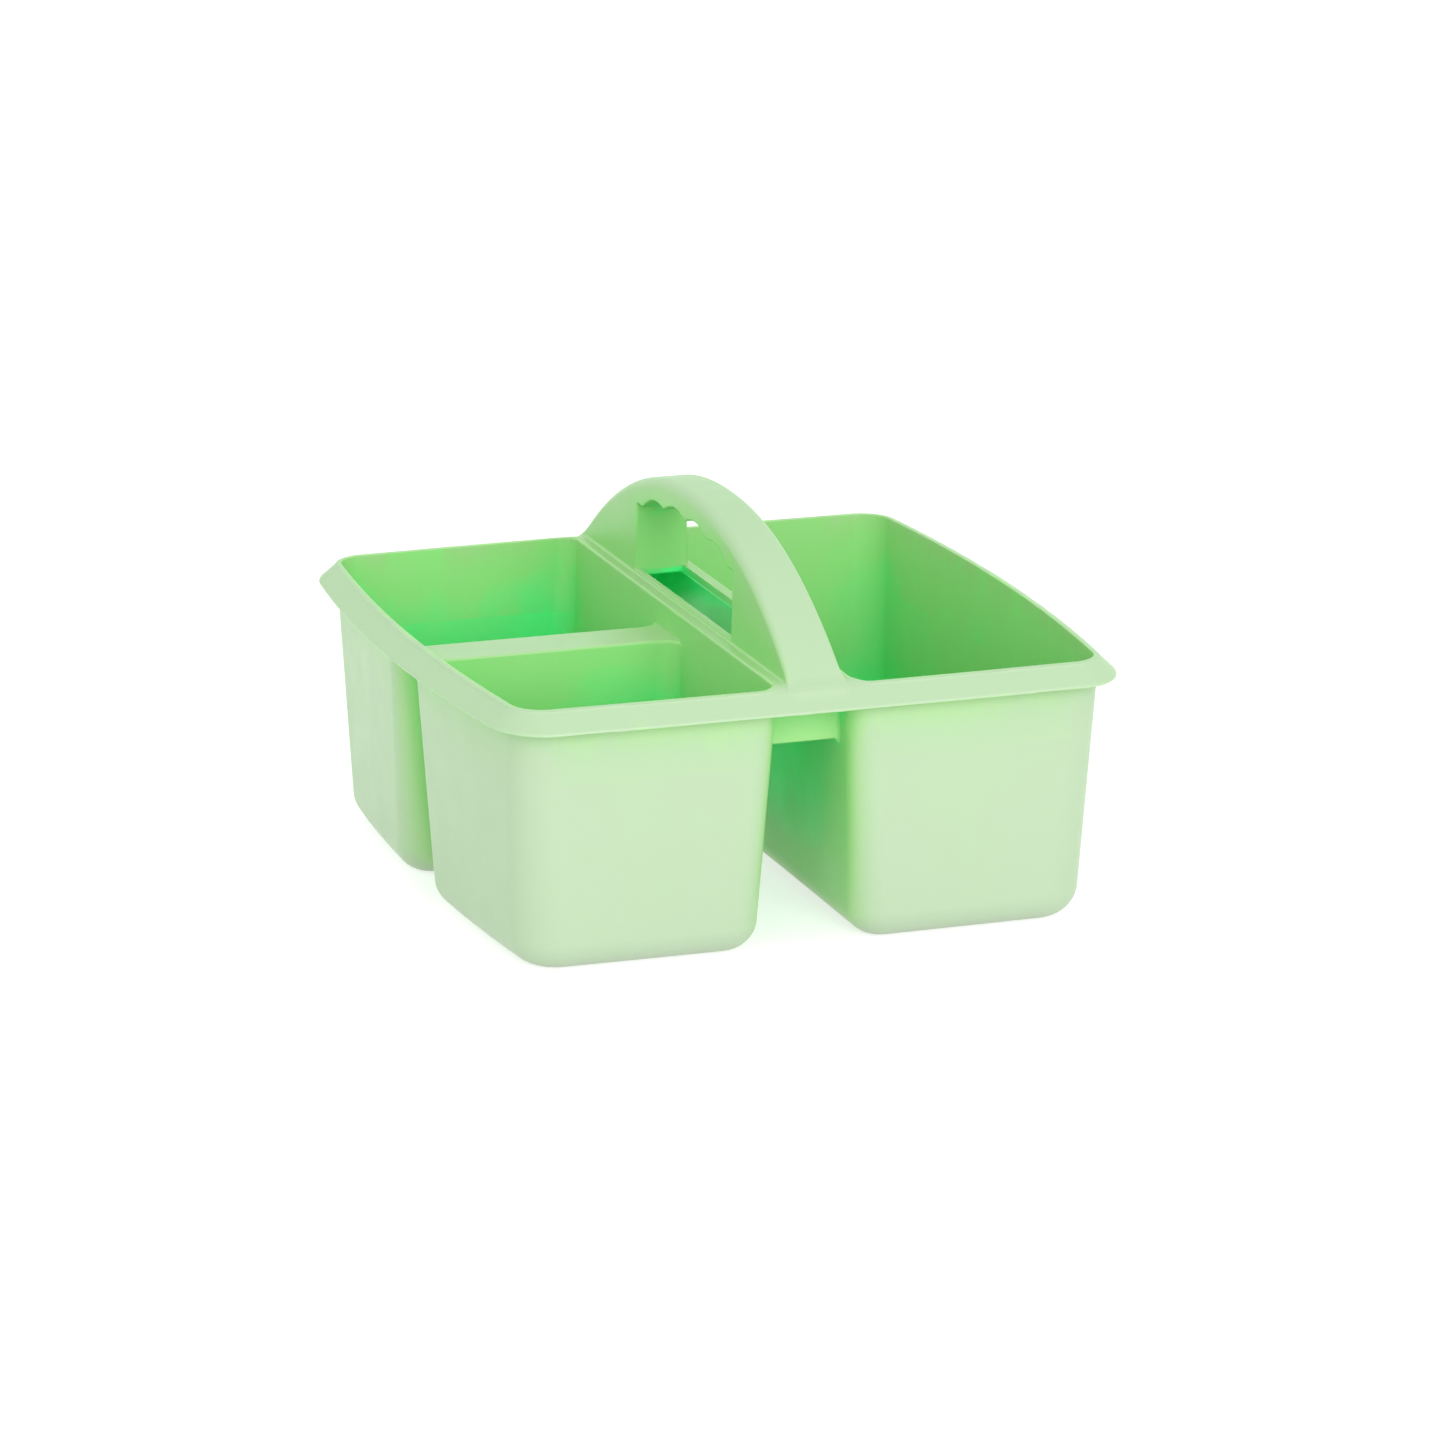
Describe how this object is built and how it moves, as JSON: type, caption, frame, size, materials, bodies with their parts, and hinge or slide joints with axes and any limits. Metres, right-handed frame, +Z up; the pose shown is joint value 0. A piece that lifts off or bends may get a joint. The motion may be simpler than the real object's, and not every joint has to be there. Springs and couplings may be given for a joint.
{
  "type": "cleaning caddy",
  "caption": "Small moulded plastic cleaning caddy with open bins either side of a fixed arched carrying handle with a finger opening.",
  "frame": {"origin": "on the floor, under the centre of the caddy's bounding box", "axes": "+X towards the side with the large bin, -Y towards the front, +Z up; the handle runs along Y"},
  "size_m": [0.2332, 0.2322, 0.134],
  "materials": {
    "moulded_plastic": "semi-gloss injection moulded polypropylene with a fine mould grain"
  },
  "bodies": {
    "root": {"large_bin": "moulded_plastic", "front_small_bin": "moulded_plastic", "rear_small_bin": "moulded_plastic", "divider_saddle": "moulded_plastic", "divider_end_outer": "moulded_plastic", "divider_end_channel": "moulded_plastic", "rim_front": "moulded_plastic", "rim_rear": "moulded_plastic", "rim_left": "moulded_plastic", "rim_right": "moulded_plastic", "rim_corner_front_left": "moulded_plastic", "rim_corner_front_right": "moulded_plastic", "rim_corner_rear_left": "moulded_plastic", "rim_corner_rear_right": "moulded_plastic", "ledge_left": "moulded_plastic", "ledge_right": "moulded_plastic", "handle_web_left": "moulded_plastic", "handle_web_right": "moulded_plastic", "handle_arch": "moulded_plastic", "handle_grip": "moulded_plastic", "opening_wall_front": "moulded_plastic", "opening_wall_rear": "moulded_plastic", "bridge_wall_front": "moulded_plastic", "bridge_wall_rear": "moulded_plastic"}
  },
  "joints": []
}
